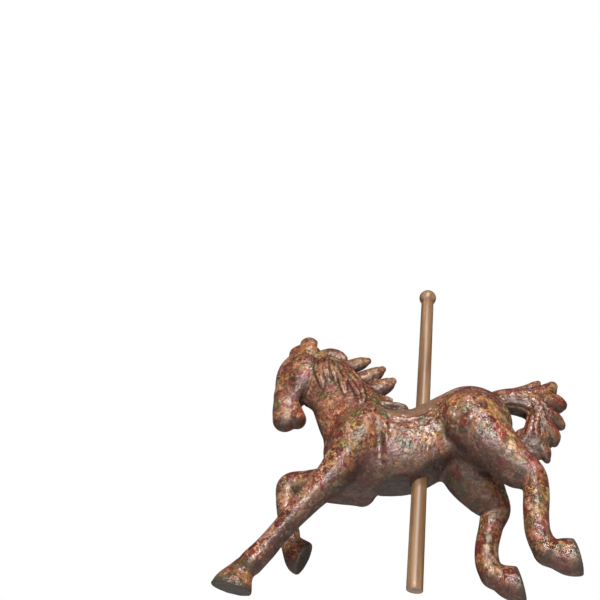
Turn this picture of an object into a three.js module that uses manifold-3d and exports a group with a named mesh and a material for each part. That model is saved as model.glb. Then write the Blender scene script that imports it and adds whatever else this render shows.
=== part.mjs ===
// A carved carousel horse in a leaping pose, threaded on a turned wooden pole with a ball at its top.
// Millimetres, +Z up along the pole, origin at the middle of the pole's flat foot.
// The horse faces -X and its left side faces -Y.

import * as THREE from 'three';
import { mergeVertices } from 'three/addons/utils/BufferGeometryUtils.js';
import Module from 'manifold-3d';

// Driving sizes.
const horseLength = 575; // from the brow to the last lock of the tail
const poleDiameter = 28;
const poleBelow = 187; // from the pole's foot up to the lowest line of the trunk
const poleAbove = 343; // pole standing clear above the seat, with its ball
const ballDiameter = 39;
const neckDiameter = 24; // the pole where it is cut in under the ball
const neckHeight = 5;
const footBevel = 1.2; // broken edge round the pole's foot
const boreClearance = 0.35; // between the pole and the wall of the horse's bore
const poleSides = 36;

// How finely the figure is worked.
const gridStep = horseLength / 130;
const faceBudget = 8700;
const curveSteps = 8; // rod pieces between two stations

// The figure is laid out in hundredths of its own length, from the pole's middle at the trunk's lowest line.
// A station is [along, across, up, radius]: along grows towards the tail, across to the horse's right side.
const share = horseLength / 100;
const trunkDepth = 28.4; // from that line to the seat at the pole, in the same hundredths
const lowCorner = [-61, -19, -45];
const highCorner = [50, 19, 62];

// The grid holds the distance to the figure's surface at each of its points, negative inside.
const low = new THREE.Vector3(...lowCorner).multiplyScalar(share);
const high = new THREE.Vector3(...highCorner).multiplyScalar(share);
const cells = high.clone().sub(low).divideScalar(gridStep).ceil().addScalar(1);
const field = new Float32Array(cells.x * cells.y * cells.z).fill(horseLength);
const scratch = new Float32Array(field.length).fill(Infinity);
const cellAt = (ix, iy, iz) => (iz * cells.y + iy) * cells.x + ix;

// Grid indices along one axis that the span between two values touches.
function indexRange(axis, from, to, pad) {
  const first = Math.floor((Math.min(from, to) - pad - low[axis]) / gridStep);
  const last = Math.ceil((Math.max(from, to) + pad - low[axis]) / gridStep);
  return [Math.max(0, first), Math.min(cells[axis] - 1, last)];
}

// Visits each grid point within the pad of the box between two corners.
function eachCell(start, end, pad, sidePad, visit) {
  const [firstX, lastX] = indexRange('x', start.x, end.x, pad);
  const [firstY, lastY] = indexRange('y', start.y, end.y, sidePad);
  const [firstZ, lastZ] = indexRange('z', start.z, end.z, pad);
  for (let iz = firstZ; iz <= lastZ; iz += 1) {
    for (let iy = firstY; iy <= lastY; iy += 1) {
      for (let ix = firstX; ix <= lastX; ix += 1) {
        visit(cellAt(ix, iy, iz), low.x + ix * gridStep, low.y + iy * gridStep, low.z + iz * gridStep);
      }
    }
  }
}

// Smooth centre line through the stations, with the radius eased from one to the next.
function centreLine(stations) {
  const points = stations.map((station) => new THREE.Vector3(...station.slice(0, 3)).multiplyScalar(share));
  const curve = new THREE.CatmullRomCurve3(points, false, 'centripetal');
  const radii = new THREE.SplineCurve(stations.map((station) => new THREE.Vector2(station[3], 0)));
  const steps = curveSteps * (points.length - 1);
  return Array.from({ length: steps + 1 }, (_, step) => {
    return { point: curve.getPoint(step / steps), radius: radii.getPoint(step / steps).x * share };
  });
}

const smoothLower = (first, second, blend) => {
  const overlap = Math.max(blend - Math.abs(first - second), 0) / blend;
  return Math.min(first, second) - overlap * overlap * blend / 4;
};

// Works a rounded rod of changing thickness into the field, over the grid points near it.
// A width other than one squeezes or swells the rod sideways, about its own mid plane.
function workRod(stations, width, soft, combine) {
  const line = centreLine(stations);
  const touched = [];
  for (let index = 0; index + 1 < line.length; index += 1) {
    const start = line[index];
    const end = line[index + 1];
    const axis = end.point.clone().sub(start.point);
    axis.y /= width;
    const lengthSquared = axis.lengthSq();
    const pad = Math.max(start.radius, end.radius) + soft + 2 * gridStep;
    eachCell(start.point, end.point, pad, pad * Math.max(width, 1), (cell, x, y, z) => {
      const dx = x - start.point.x;
      const dy = (y - start.point.y) / width;
      const dz = z - start.point.z;
      const along = THREE.MathUtils.clamp((dx * axis.x + dy * axis.y + dz * axis.z) / lengthSquared, 0, 1);
      const gap = Math.hypot(dx - along * axis.x, dy - along * axis.y, dz - along * axis.z);
      const distance = gap - THREE.MathUtils.lerp(start.radius, end.radius, along);
      if (scratch[cell] === Infinity) touched.push(cell);
      if (distance < scratch[cell]) scratch[cell] = distance;
    });
  }
  for (const cell of touched) {
    field[cell] = combine(field[cell], scratch[cell]);
    scratch[cell] = Infinity;
  }
}

// Adds flesh along the stations, flowing into what is there over the blend length.
function addRod(stations, width = 1, blend = 1.6) {
  const soft = blend * share;
  workRod(stations, width, soft, (known, distance) => smoothLower(known, distance, soft));
}

// Cuts a groove or a hollow along the stations.
function cutRod(stations, width = 1, blend = 0.4) {
  const soft = blend * share;
  workRod(stations, width, soft, (known, distance) => -smoothLower(-known, distance, soft));
}

// Cuts the figure flat past a point, as far as the reach, as at the sole of a hoof.
function trimFlat([along, across, up], [towardsTail, upward], reach, blend = 0.33) {
  const point = new THREE.Vector3(along, across, up).multiplyScalar(share);
  const outward = new THREE.Vector3(towardsTail, 0, upward).normalize();
  const soft = blend * share;
  eachCell(point, point, reach * share, reach * share, (cell, x, y, z) => {
    const beyond = (x - point.x) * outward.x + (z - point.z) * outward.z;
    if (beyond > -2 * gridStep) field[cell] = -smoothLower(-field[cell], -beyond, soft);
  });
}

const otherSide = (stations) => stations.map(([along, across, ...rest]) => [along, -across, ...rest]);

function addPair(stations, width, blend) {
  addRod(stations, width, blend);
  addRod(otherSide(stations), width, blend);
}

// A point on a rod's skin: its place along the rod, and its turn round it from the inside of the bend.
function onRod({ stations, width }, place, turn, side) {
  const points = stations.map((station) => new THREE.Vector3(...station.slice(0, 3)));
  const curve = new THREE.CatmullRomCurve3(points);
  const radii = new THREE.SplineCurve(stations.map((station) => new THREE.Vector2(station[3], 0)));
  const middle = curve.getPoint(place);
  const radius = radii.getPoint(place).x;
  const lengthwise = curve.getTangent(place);
  const reach = radius * Math.cos(turn);
  const across = side * radius * width * Math.sin(turn);
  return [middle.x + reach * lengthwise.z, across, middle.z - reach * lengthwise.x];
}

// Trunk: deep chest, flat underside rising to the flank, high round croup.
addRod([[-20, 0, 11, 11.6], [-9, 0, 11.6, 15.4], [0, 0, 13.8, 14.3], [7, 0, 18.6, 13.6],
  [16.4, 0, 25, 13.5]], 0.76);
trimFlat([-4.5, 0, -0.4], [0.3, -1], 22, 1.6);
trimFlat([3.5, 0, 3.8], [0.77, -1], 20, 1.6);
addRod([[-22.5, 0, 9, 9.3], [-22.6, 0, 2.6, 6.6]], 1.1, 5);

// Neck and throat.
const neck = {
  stations: [[-22.7, 0, 22, 13.2], [-29.9, 0, 32.6, 11.3], [-36.3, 0, 40.6, 10.1],
    [-41.6, 0, 46.7, 7.4]],
  width: 0.58,
};
addRod(neck.stations, neck.width, 3);
addRod([[-38.7, 0, 33.6, 5.6], [-41.1, 0, 31.9, 3.4]], 0.7, 1.5);

// Head, hung steeply with the chin drawn in.
addRod([[-47.9, 0, 51.6, 5], [-49.5, 0, 43.5, 7], [-50.1, 0, 33.5, 5.6]], 0.66, 1.5);
addRod([[-50.1, 0, 33.5, 5.4], [-50, 0, 26.8, 4.9], [-49.3, 0, 22.6, 4.7]], 0.84, 1);
addRod([[-47.2, 0, 27.4, 3.2], [-44.9, 0, 22.8, 3.4]], 1.1, 0.6);
addPair([[-45.6, -3, 46, 4.6], [-44.9, -3.1, 40.5, 4.7], [-46.4, -2.5, 35.4, 4],
  [-48.4, -1.8, 31, 3.4]], 0.68, 0.8);
addPair([[-48.6, -4.9, 38.7, 0.7], [-47.6, -5.4, 38, 0.9], [-46.7, -5.6, 37.6, 0.6]], 1, 0.2);
for (const side of [-1, 1]) {
  cutRod([[-45.8, 3.6 * side, 28, 0.3], [-45.6, 4.2 * side, 25, 0.7], [-45.3, 4 * side, 20.4, 0.7]]);
  cutRod([[-49.2, 4.4 * side, 26.1, 0.5], [-48, 4.3 * side, 25.3, 0.7]]);
}

// Fore legs: the left one reaches forward, the right one is folded at the knee.
addRod([[-17, -5, 16, 9], [-21, -6.5, 9, 7.8], [-26, -8.7, -2, 5.6], [-31.4, -9.6, -10.2, 4.3],
  [-35.2, -9.7, -15.6, 3.9], [-39.7, -9.6, -22.4, 3.3], [-44.3, -9, -29.3, 3.5],
  [-47.1, -8.7, -32.8, 3.7]], 1, 3);
addRod([[-49, -8.7, -35, 3.7], [-50.5, -8.7, -38.3, 4.8], [-51.5, -8.7, -41.6, 6.3]], 0.78, 0.6);
trimFlat([-51, -8.7, -40.9], [-0.085, -1], 9);
addRod([[-17, 5, 16, 9], [-20, 7, 6, 8], [-25, 8, 4.6, 8], [-31.1, 9, 2.9, 6.2], [-39, 9.6, 2.8, 4.7],
  [-45.6, 9.6, 1.4, 4.3], [-45.8, 9.6, -3.8, 3.6], [-43.9, 9.4, -11, 3.3], [-42, 9.4, -16, 3.4]], 1, 3);
addRod([[-25.5, 7.8, 1.4, 4.8], [-19.5, 7.8, -0.2, 4.3]], 1, 2);
addRod([[-42.1, 9.4, -17.7, 3.2], [-39.4, 9.4, -20.7, 4.3], [-37, 9.4, -23, 5.4]], 0.8, 0.6);
trimFlat([-35.9, 9.4, -23.6], [0.93, -0.36], 7.5);

// Hind legs, kicked back one ahead of the other.
addRod([[16, -5.5, 21, 11], [23.8, -8.3, 10.9, 7.6], [28.7, -9.2, 5.8, 5.7], [33.4, -9.7, 1.4, 4.2],
  [34.3, -9.7, -3.5, 3.7], [33.6, -9.7, -11.2, 3.5], [33.8, -9.7, -17, 3.5],
  [35.6, -9.7, -21.6, 3.8]], 1, 2.4);
addRod([[24.4, -8.2, 4.2, 3.6], [28.8, -8.7, 1.1, 3.6], [32, -9.1, 0.6, 3.2]], 1, 1.5);
addRod([[35.9, -9.7, -21.8, 3.6], [38.3, -9.7, -22.2, 4.1], [40.9, -9.7, -22.5, 4.9],
  [43.8, -9.7, -22.2, 4.8]], 0.82, 0.6);
trimFlat([43.4, -9.7, -22.3], [0.984, 0.178], 8);
addRod([[15, 5.5, 20, 11], [16.2, 7.3, 10.8, 9.8], [20.1, 8.7, 4, 7.3], [23.5, 9.4, -0.9, 4.9],
  [22.2, 9.6, -6.6, 3.7], [20.7, 9.6, -14, 3.5], [20.9, 9.6, -19.2, 3.7], [22.1, 9.6, -22, 3.9]], 1, 2.4);
addRod([[22.4, 9.6, -22, 3.7], [24.9, 9.6, -23, 4.2], [27.2, 9.6, -23.8, 4.9],
  [30.3, 9.6, -24, 5]], 0.82, 0.6);
trimFlat([30, 9.6, -23.2], [0.972, 0.235], 8);

// Tail: a thick curl from the dock round to the hocks, with a strand for each of its tips on both sides.
const tail = {
  stations: [[22, 0, 32.8, 2.6], [26.4, 0, 34.3, 3.2], [31, 0, 34.3, 4.2], [36, 0, 33.8, 4.9],
    [39.2, 0, 30, 4.9], [39, 0, 24.1, 5], [37, 0, 18.8, 4.7], [35.6, 0, 15.8, 3.4]],
  width: 0.72,
};
addRod(tail.stations, tail.width, 1);
addRod([[37.6, 0, 21.4, 3.2], [33, 0, 20.2, 2.9], [31.9, 0, 18.6, 2.4]], tail.width, 0.6);
addRod([[33.4, 0, 14.8, 2.2], [36.6, 0, 14.6, 2.6]], tail.width, 0.6);
const tailStrands = [
  { leave: 0.3, turn: 2.55, tip: [[37.9, 0.5, 40.3, 1.9], [39.4, 0.3, 42.3, 0.9]] },
  { leave: 0.42, turn: 2.2, tip: [[41.6, 0.6, 38.2, 2.8], [44, 0.4, 41.1, 1.6]] },
  { leave: 0.5, turn: 1.95, tip: [[43.6, 0.6, 33.8, 3.2], [46.1, 0.4, 33.6, 1.8]] },
  { leave: 0.6, turn: 1.75, tip: [[42.9, 0.6, 27.1, 2.8], [45, 0.4, 25.5, 1.5]] },
  { leave: 0.7, turn: 1.5, tip: [[41.7, 0.6, 21.4, 2.7], [42.3, 0.4, 19, 1.5]] },
  { leave: 0.82, turn: 1.2, tip: [[38.8, 0.5, 15.4, 2.2], [39.6, 0.3, 12.3, 1.1]] },
  { leave: 0.86, turn: 0.75, tip: [[32.8, 0.5, 17, 2.3], [34.6, 0.3, 13.9, 1.7]] },
];
const strandStart = 0.03;
for (const { leave, turn, tip } of tailStrands) {
  for (const side of [-1, 1]) {
    const lying = [0, 1, 2, 3].map((step) => {
      return [...onRod(tail, THREE.MathUtils.lerp(strandStart, leave, step / 3), turn, side), 1.25];
    });
    addRod([...lying, ...tip.map(([along, across, ...rest]) => [along, side * across, ...rest])], 0.9, 0.25);
  }
}

// Mane: bumps over the poll, three leaves blown back from the crest and a small one at the withers.
const maneLocks = [
  [[-47.6, 0, 55.2, 2.2], [-41.4, 0, 50.9, 3.8], [-36.9, 0, 53, 3.3], [-33.7, 0, 52.6, 2.8],
    [-31.6, 0, 51.6, 2]],
  [[-34.2, 0, 46, 4], [-31, 0, 48, 2.9]],
  [[-31.6, 0.3, 45.2, 3.4], [-28.2, 0.3, 47.7, 3.2], [-24.6, 0.3, 49.6, 2.9], [-21.9, 0.3, 50.9, 1.6]],
  [[-26.4, -0.3, 38.8, 4], [-22.1, -0.3, 41.9, 3.5], [-18.2, -0.3, 44.4, 2.9], [-15.7, -0.3, 46.6, 1.5]],
  [[-21.5, 0.3, 34.4, 4], [-17.3, 0.3, 37.4, 3.8], [-13.8, 0.3, 39.6, 3.1], [-11.5, 0.3, 41.6, 1.6]],
  [[-17.4, 0, 31.6, 2.6], [-13.6, 0, 32.8, 1.9], [-11.8, 0, 32.9, 1.2]],
];
for (const lock of maneLocks) addRod(lock, 0.72, 0.8);

// Low strands down both sides of the neck: where each starts and ends along the neck and round it.
const neckHair = [
  { from: [0.95, 1.1], to: [0.52, 1.7] },
  { from: [0.93, 1.5], to: [0.5, 1.98] },
  { from: [0.84, 0.9], to: [0.42, 1.5] },
  { from: [0.76, 0.72], to: [0.38, 1.02] },
  { from: [0.6, 1.05], to: [0.2, 1.5] },
  { from: [0.5, 0.66], to: [0.14, 1] },
  { from: [0.3, 0.95], to: [0.02, 1.3] },
];
const hairTaper = [[0, 1.1], [0.34, 1.35], [0.7, 1.1], [1, 0.4]];
for (const { from, to } of neckHair) {
  for (const side of [-1, 1]) {
    addRod(hairTaper.map(([part, radius]) => {
      const sway = 0.03 * Math.sin(2 * Math.PI * part + 5 * from[0]);
      const place = THREE.MathUtils.clamp(THREE.MathUtils.lerp(from[0], to[0], part) + sway, 0, 1);
      return [...onRod(neck, place, THREE.MathUtils.lerp(from[1], to[1], part), side), radius];
    }), 1, 0.25);
  }
}

// Forelock and ears.
addRod([[-50.3, 0, 53.3, 3.4], [-48.1, 0, 56, 2.6]], 0.9, 0.8);
addPair([[-45.6, -2.3, 51.6, 4.2], [-45.7, -2.7, 56.4, 3.4]], 0.6, 0.8);
addPair([[-47.2, -2.7, 57.3, 1.9], [-44.2, -2.7, 57, 2.1]], 0.6, 0.4);

// Saddle: a pommel roll across the withers and the raised edge of the seat along both sides.
addRod([[-13.4, 0, 28.4, 2.3], [-8.6, 0, 28, 2.3], [-6.6, 0, 27.8, 2.1]], 2.2, 0.8);
const seatEdge = [[-13.6, 9.6, 23.4, 0.5], [-11, 10.9, 19.9, 0.75], [-7.6, 10.6, 18.9, 0.75],
  [-2.9, 10.5, 18.9, 0.7], [1.4, 9.9, 20.6, 0.6], [4, 8.9, 23.2, 0.25]];
for (const side of [-1, 1]) {
  addRod(seatEdge.map(([along, across, up, radius]) => [along, side * across, up - 0.5, radius]), 1, 0.5);
  const grooved = seatEdge.map(([along, across, up, radius]) => {
    return [along, side * across, up + 0.9, 0.8 * radius];
  });
  cutRod(grooved, 1, 0.5);
}

// Hollows behind the shoulder and before the thigh, on both sides.
const hollows = [
  [[-14, -14, 15, 0.9], [-12.7, -12.5, 9.1, 1.3], [-12.2, -11.2, 5.6, 1.2], [-11.8, -9.8, 2.6, 0.7]],
  [[7.4, -13.9, 22.5, 0.9], [7.2, -12.8, 17.5, 1.5], [7.6, -11, 12.8, 1.4], [8.7, -9.2, 8.7, 0.8]],
];
for (const hollow of hollows) {
  cutRod(hollow, 1, 2);
  cutRod(otherSide(hollow), 1, 2);
}

// Closed skin over the field. Each grid cube is cut in six tetrahedra round its long diagonal.
const cubeCorners = [[0, 0, 0], [1, 0, 0], [1, 1, 0], [0, 1, 0], [0, 0, 1], [1, 0, 1], [1, 1, 1], [0, 1, 1]];
const tetrahedra = [[0, 1, 2, 6], [0, 2, 3, 6], [0, 3, 7, 6], [0, 7, 4, 6], [0, 4, 5, 6], [0, 5, 1, 6]];

function skinOfField() {
  const vertices = [];
  const faces = [];
  const known = new Map();
  const offsets = cubeCorners.map((corner) => cellAt(...corner));
  const gridPlace = (cell) => new THREE.Vector3(
    cell % cells.x,
    Math.floor(cell / cells.x) % cells.y,
    Math.floor(cell / (cells.x * cells.y)),
  );
  const crossing = (inner, outer) => {
    const key = inner * field.length + outer;
    if (!known.has(key)) {
      const part = THREE.MathUtils.clamp(field[inner] / (field[inner] - field[outer]), 0.05, 0.95);
      known.set(key, vertices.length);
      vertices.push(gridPlace(inner).lerp(gridPlace(outer), part).multiplyScalar(gridStep).add(low));
    }
    return known.get(key);
  };
  // The way round a face comes from the middles of the grid edges it cuts, so neighbours always agree.
  const addFace = (cuts, outward) => {
    const [a, b, c] = cuts.map(([inner, outer]) => gridPlace(inner).add(gridPlace(outer)));
    const forward = b.sub(a).cross(c.sub(a)).dot(outward) > 0;
    const ends = cuts.map(([inner, outer]) => crossing(inner, outer));
    faces.push(forward ? ends : ends.reverse());
  };
  const middle = (group) => group.reduce((sum, cell) => sum.add(gridPlace(cell)), new THREE.Vector3())
    .divideScalar(group.length);
  eachCell(low, high.clone().subScalar(2 * gridStep), 0, 0, (cell) => {
    if (Math.abs(field[cell]) > 3 * gridStep) return;
    const corners = offsets.map((offset) => cell + offset);
    if (corners.every((corner) => field[corner] < 0) || corners.every((corner) => field[corner] >= 0)) return;
    for (const tetrahedron of tetrahedra) {
      const group = tetrahedron.map((corner) => corners[corner]);
      const inside = group.filter((corner) => field[corner] < 0);
      const outside = group.filter((corner) => field[corner] >= 0);
      if (inside.length === 0 || outside.length === 0) continue;
      const outward = middle(outside).sub(middle(inside));
      const cuts = inside.flatMap((inner) => outside.map((outer) => [inner, outer]));
      if (cuts.length === 3) {
        addFace(cuts, outward);
      } else {
        addFace([cuts[0], cuts[1], cuts[3]], outward);
        addFace([cuts[0], cuts[3], cuts[2]], outward);
      }
    }
  });
  return { vertices, faces };
}

// Thins the skin to the face budget by merging the two ends of an edge, flattest places first.
// Each vertex carries the sum of squared distances to its planes, as the ten terms of a quadric.
function thinned({ vertices, faces }, budget) {
  const quadrics = vertices.map(() => new Float64Array(10));
  const facesOf = vertices.map(() => new Set());
  const versions = new Uint32Array(vertices.length);
  const faceNormal = ([a, b, c]) => vertices[b].clone().sub(vertices[a])
    .cross(vertices[c].clone().sub(vertices[a]));
  faces.forEach((face, index) => {
    const normal = faceNormal(face);
    const area = normal.length();
    normal.divideScalar(Math.max(area, 1e-12));
    const plane = [normal.x, normal.y, normal.z, -normal.dot(vertices[face[0]])];
    const terms = plane.flatMap((first, row) => plane.slice(row).map((second) => first * second * area));
    for (const corner of face) {
      terms.forEach((term, place) => { quadrics[corner][place] += term; });
      facesOf[corner].add(index);
    }
  });
  const cost = (q, { x, y, z }) => q[0] * x * x + 2 * q[1] * x * y + 2 * q[2] * x * z + 2 * q[3] * x
    + q[4] * y * y + 2 * q[5] * y * z + 2 * q[6] * y + q[7] * z * z + 2 * q[8] * z + q[9];
  const heap = [];
  const swap = (first, second) => {
    [heap[first], heap[second]] = [heap[second], heap[first]];
  };
  const push = (entry) => {
    heap.push(entry);
    let place = heap.length - 1;
    while (place > 0) {
      const parent = (place - 1) >> 1;
      if (heap[parent].cost <= heap[place].cost) break;
      swap(parent, place);
      place = parent;
    }
  };
  const pop = () => {
    const top = heap[0];
    const last = heap.pop();
    if (heap.length === 0) return top;
    heap[0] = last;
    let place = 0;
    for (;;) {
      const left = 2 * place + 1;
      let best = place;
      if (left < heap.length && heap[left].cost < heap[best].cost) best = left;
      if (left + 1 < heap.length && heap[left + 1].cost < heap[best].cost) best = left + 1;
      if (best === place) return top;
      swap(best, place);
      place = best;
    }
  };
  const matrix = new THREE.Matrix3();
  const consider = (a, b) => {
    const sum = quadrics[a].map((term, place) => term + quadrics[b][place]);
    const halfway = vertices[a].clone().lerp(vertices[b], 0.5);
    const places = [halfway, vertices[a].clone(), vertices[b].clone()];
    matrix.set(sum[0], sum[1], sum[2], sum[1], sum[4], sum[5], sum[2], sum[5], sum[7]);
    const size = Math.max(sum[0], sum[4], sum[7]);
    if (Math.abs(matrix.determinant()) > 1e-4 * size ** 3) {
      const best = new THREE.Vector3(-sum[3], -sum[6], -sum[8]).applyMatrix3(matrix.invert());
      if (best.distanceTo(halfway) < 2 * vertices[a].distanceTo(vertices[b])) places.push(best);
    }
    places.sort((first, second) => cost(sum, first) - cost(sum, second));
    const stretch = 1e-5 * vertices[a].distanceToSquared(vertices[b]);
    const place = places[0];
    push({ cost: cost(sum, place) + stretch, a, b, sum, place, version: versions[a] + versions[b] });
  };
  const neighbours = (corner) => {
    const found = new Set([...facesOf[corner]].flatMap((index) => faces[index]));
    found.delete(corner);
    return found;
  };
  const flips = (corner, other, place) => [...facesOf[corner]].some((index) => {
    const face = faces[index];
    if (face.includes(other)) return false;
    const before = faceNormal(face);
    const [first, second] = face.filter((vertex) => vertex !== corner).map((vertex) => vertices[vertex]);
    const after = first.clone().sub(place).cross(second.clone().sub(place));
    if (face.indexOf(corner) === 1) after.negate();
    return after.dot(before) < 0.25 * before.length() * after.length();
  });
  faces.forEach(([a, b, c]) => [[a, b], [b, c], [c, a]].forEach(([from, to]) => {
    if (from < to) consider(from, to);
  }));
  let left = faces.length;
  while (left > budget && heap.length > 0) {
    const { a, b, sum, place, version } = pop();
    if (facesOf[a].size === 0 || facesOf[b].size === 0 || versions[a] + versions[b] !== version) continue;
    const near = neighbours(a);
    const shared = [...neighbours(b)].filter((vertex) => near.has(vertex));
    if (shared.length !== 2 || flips(a, b, place) || flips(b, a, place)) continue;
    for (const index of [...facesOf[b]]) {
      const face = faces[index];
      if (face.includes(a)) {
        face.forEach((vertex) => facesOf[vertex].delete(index));
        left -= 1;
      } else {
        faces[index] = face.map((vertex) => (vertex === b ? a : vertex));
        facesOf[a].add(index);
      }
    }
    facesOf[b].clear();
    vertices[a].copy(place);
    quadrics[a] = sum;
    versions[a] += 1;
    versions[b] += 1;
    neighbours(a).forEach((vertex) => consider(Math.min(a, vertex), Math.max(a, vertex)));
  }
  const kept = new Set(facesOf.flatMap((set) => [...set]));
  const order = new Map();
  const index = [...kept].flatMap((face) => faces[face]).map((vertex) => {
    if (!order.has(vertex)) order.set(vertex, order.size);
    return order.get(vertex);
  });
  const geometry = new THREE.BufferGeometry();
  geometry.setAttribute('position', new THREE.BufferAttribute(
    new Float32Array([...order.keys()].flatMap((vertex) => vertices[vertex].toArray())), 3));
  geometry.setIndex(index);
  return geometry;
}

const wasm = await Module();
wasm.setup();

// Closed mesh to solid and back.
function solidOf(geometry) {
  const bare = geometry.clone();
  bare.deleteAttribute('normal');
  bare.deleteAttribute('uv');
  const merged = mergeVertices(bare, 1e-4);
  return new wasm.Manifold(new wasm.Mesh({
    numProp: 3,
    vertProperties: Float32Array.from(merged.attributes.position.array),
    triVerts: Uint32Array.from(merged.index.array),
  }));
}

function geometryOf(solid) {
  const { vertProperties, triVerts } = solid.getMesh();
  const geometry = new THREE.BufferGeometry();
  geometry.setAttribute('position', new THREE.BufferAttribute(Float32Array.from(vertProperties), 3));
  geometry.setIndex(new THREE.BufferAttribute(Uint32Array.from(triVerts), 1));
  geometry.computeVertexNormals();
  return geometry;
}

const skin = thinned(skinOfField(), faceBudget);
skin.translate(0, 0, poleBelow);
const bore = new THREE.CylinderGeometry(
  poleDiameter / 2 + boreClearance, poleDiameter / 2 + boreClearance, 2 * horseLength, poleSides)
  .rotateX(Math.PI / 2);
const horse = new THREE.Mesh(
  geometryOf(solidOf(skin).subtract(solidOf(bore))),
  new THREE.MeshStandardMaterial({ color: 0x7a4a38, roughness: 0.35, metalness: 0 }),
);
horse.name = 'horse';

// Pole: one turned piece, drawn as half its outline from the foot up.
const poleHeight = poleBelow + trunkDepth * share + poleAbove;
const poleRadius = poleDiameter / 2;
const ballRadius = ballDiameter / 2;
const ballMiddle = poleHeight - ballRadius;
const seatAngle = Math.asin(neckDiameter / 2 / ballRadius);
const ballFoot = ballMiddle - ballRadius * Math.cos(seatAngle);
const ballSteps = 10;
const outline = [
  new THREE.Vector2(0, 0),
  new THREE.Vector2(poleRadius - footBevel, 0),
  new THREE.Vector2(poleRadius, footBevel),
  new THREE.Vector2(poleRadius, ballFoot - neckHeight),
  new THREE.Vector2(neckDiameter / 2, ballFoot - neckHeight / 2),
];
for (let step = 0; step <= ballSteps; step += 1) {
  const angle = THREE.MathUtils.lerp(seatAngle, Math.PI, step / ballSteps);
  const reach = step === ballSteps ? 0 : ballRadius * Math.sin(angle);
  outline.push(new THREE.Vector2(reach, ballMiddle - ballRadius * Math.cos(angle)));
}
const pole = new THREE.Mesh(
  new THREE.LatheGeometry(outline, poleSides).rotateX(Math.PI / 2),
  new THREE.MeshStandardMaterial({ color: 0xb98e6a, roughness: 0.5, metalness: 0 }),
);
pole.name = 'pole';

const carousel = new THREE.Group();
carousel.add(horse, pole);

export default carousel;
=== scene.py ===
import math

import bpy
import numpy as np
import openvdb
from mathutils import Matrix, Vector


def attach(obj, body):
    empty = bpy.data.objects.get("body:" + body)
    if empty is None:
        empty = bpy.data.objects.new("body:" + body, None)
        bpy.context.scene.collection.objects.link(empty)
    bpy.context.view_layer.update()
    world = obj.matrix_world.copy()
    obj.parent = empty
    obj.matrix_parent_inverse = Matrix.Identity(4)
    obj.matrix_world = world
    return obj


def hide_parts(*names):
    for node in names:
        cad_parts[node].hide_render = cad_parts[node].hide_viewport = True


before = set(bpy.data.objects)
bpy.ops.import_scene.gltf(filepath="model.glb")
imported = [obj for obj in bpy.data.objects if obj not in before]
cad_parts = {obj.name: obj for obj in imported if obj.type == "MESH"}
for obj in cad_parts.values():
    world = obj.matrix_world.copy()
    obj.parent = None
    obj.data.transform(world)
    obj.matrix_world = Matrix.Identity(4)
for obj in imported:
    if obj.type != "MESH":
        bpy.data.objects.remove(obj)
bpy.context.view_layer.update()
scene = bpy.context.scene

# sizes in millimetres, as in the solids
figure = {
    "length": 575.0,
    "poleBelow": 187.0,
    "poleDiameter": 28.0,
    "boreClearance": 0.35,
    "gridStep": 1.8,
    "simplify": 0.02,
    "low": (-61, -19, -45),  # hundredths of the length
    "high": (50, 19, 62),
    "curveSteps": 8,
    "boreEase": 1.2,  # rounding where the bore leaves the skin
}
share = figure["length"] / 100.0
step = figure["gridStep"]
low = np.array(figure["low"]) * share
high = np.array(figure["high"]) * share
cells = np.ceil((high - low) / step).astype(int) + 1
field = np.full(cells, figure["length"], dtype=np.float32)
print("grid", cells)


def centreLine(stations, steps=figure["curveSteps"]):
    # smooth line through the stations, [along, across, up, radius] in hundredths of the length
    given = np.array(stations, dtype=float)
    points = given[:, :3] * share
    radii = given[:, 3] * share
    last = len(points) - 1
    line = []
    for index in range(last * steps + 1):
        place = index / steps
        at = min(int(place), last - 1)
        part = place - at
        p1, p2 = points[at], points[at + 1]
        p0 = points[at - 1] if at > 0 else 2 * p1 - p2
        p3 = points[at + 2] if at + 2 <= last else 2 * p2 - p1
        gaps = [max(np.linalg.norm(b - a) ** 0.5, 1e-4) for a, b in ((p0, p1), (p1, p2), (p2, p3))]
        start = ((p1 - p0) / gaps[0] - (p2 - p0) / (gaps[0] + gaps[1]) + (p2 - p1) / gaps[1]) * gaps[1]
        end = ((p2 - p1) / gaps[1] - (p3 - p1) / (gaps[1] + gaps[2]) + (p3 - p2) / gaps[2]) * gaps[1]
        point = (p1 + start * part + (3 * (p2 - p1) - 2 * start - end) * part ** 2
                 + (2 * (p1 - p2) + start + end) * part ** 3)
        r0, r1, r2, r3 = (radii[min(max(at + k, 0), last)] for k in (-1, 0, 1, 2))
        v0, v1 = (r2 - r0) / 2, (r3 - r1) / 2
        radius = (r1 + v0 * part + (3 * (r2 - r1) - 2 * v0 - v1) * part ** 2
                  + (2 * (r1 - r2) + v0 + v1) * part ** 3)
        line.append((point, radius))
    return line


def rodGap(line, width, x, y, z, best):
    # distance from points to a rounded rod of changing thickness, where it is less than best
    for (start, r0), (end, r1) in zip(line, line[1:]):
        axis = end - start
        axis = np.array((axis[0], axis[1] / width, axis[2]))
        dx, dy, dz = x - start[0], (y - start[1]) / width, z - start[2]
        along = np.clip((dx * axis[0] + dy * axis[1] + dz * axis[2]) / max(axis @ axis, 1e-9), 0, 1)
        gap = np.sqrt((dx - along * axis[0]) ** 2 + (dy - along * axis[1]) ** 2
                      + (dz - along * axis[2]) ** 2)
        gap -= r0 + along * (r1 - r0)
        best = np.minimum(best, gap)
    return best


def cellsAround(lowest, highest):
    # the first and last cells of the grid round a box
    first = np.maximum(np.floor((lowest - low) / step).astype(int), 0)
    last = np.minimum(np.ceil((highest - low) / step).astype(int) + 1, cells)
    return first, last


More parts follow.
